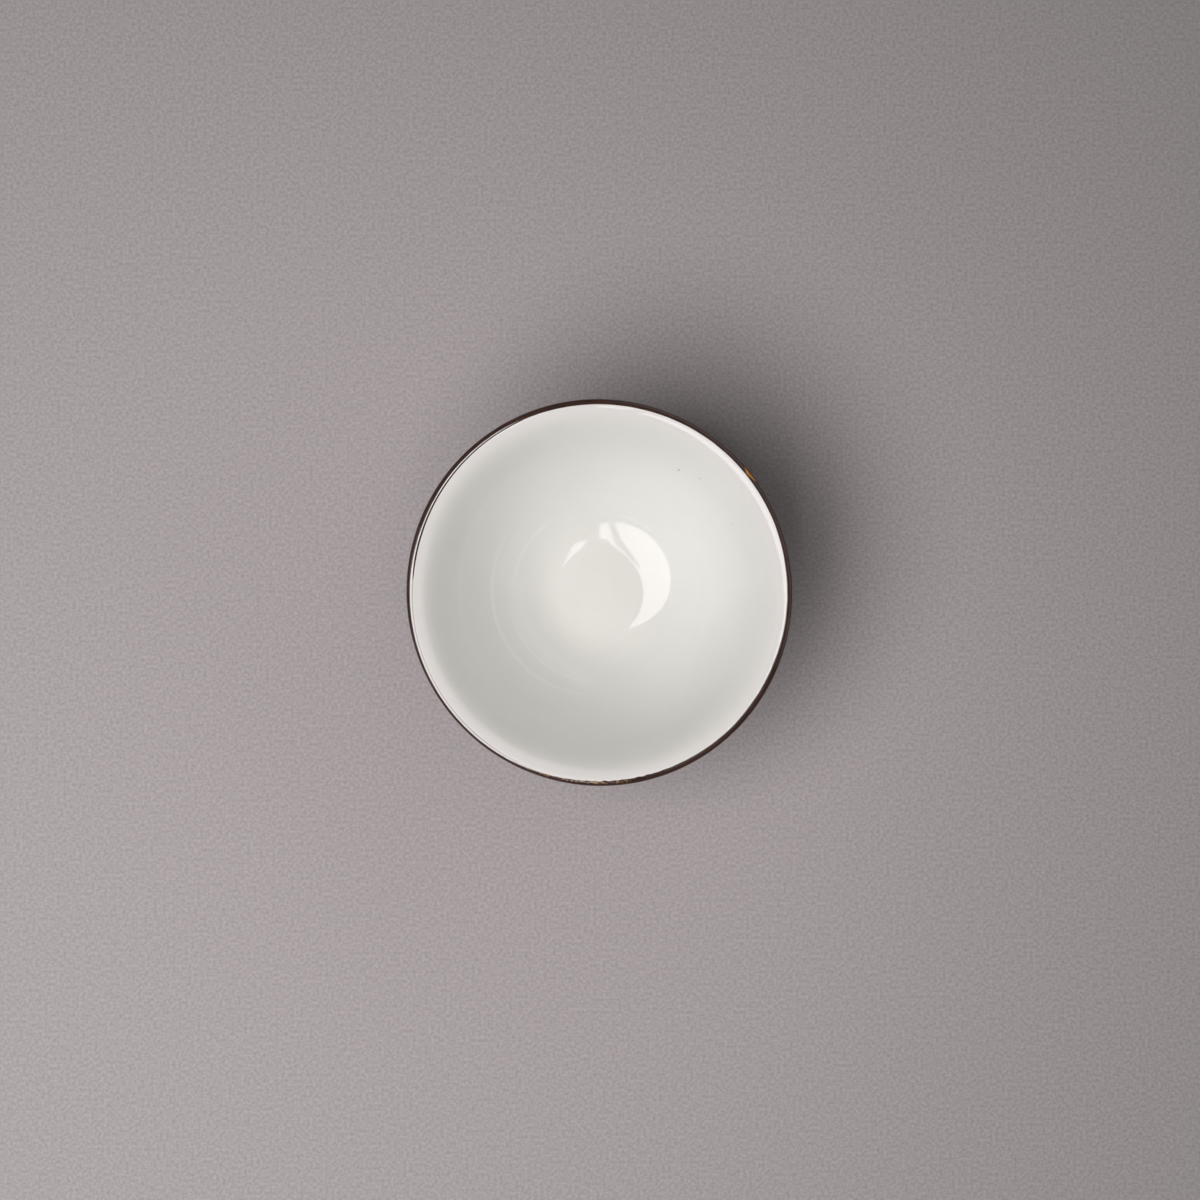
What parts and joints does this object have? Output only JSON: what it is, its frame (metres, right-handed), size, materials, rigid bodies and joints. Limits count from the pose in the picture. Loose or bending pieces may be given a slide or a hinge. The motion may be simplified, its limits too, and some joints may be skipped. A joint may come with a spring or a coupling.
{
  "type": "sake cup",
  "caption": "Small round porcelain drinking cup with an out-turned lip, white glazed inside, brown line on the rim, dark glazed outside and a bare foot ring to stand on.",
  "frame": {"origin": "centre of the foot ring's contact face, on the surface that the cup stands on", "axes": "+Z up along the axis that the cup was turned about; +X to the right and +Y up in the picture, which looks straight down"},
  "size_m": [0.064, 0.064, 0.031],
  "materials": {
    "bare_porcelain": "bare fired porcelain, matte",
    "white_glaze": "clear glossy glaze over white porcelain",
    "iron_brown_glaze": "glossy iron-brown glaze",
    "iron_brown_line": "brushed iron-brown line, satin",
    "overglaze_gold": "overglaze gold, burnished by the brush"
  },
  "bodies": {
    "root": {"porcelain_body": "bare_porcelain", "inside_glaze": "white_glaze", "foot_recess_glaze": "white_glaze", "outside_glaze": "iron_brown_glaze", "rim_line": "iron_brown_line", "gold_accent": "overglaze_gold"}
  },
  "joints": []
}
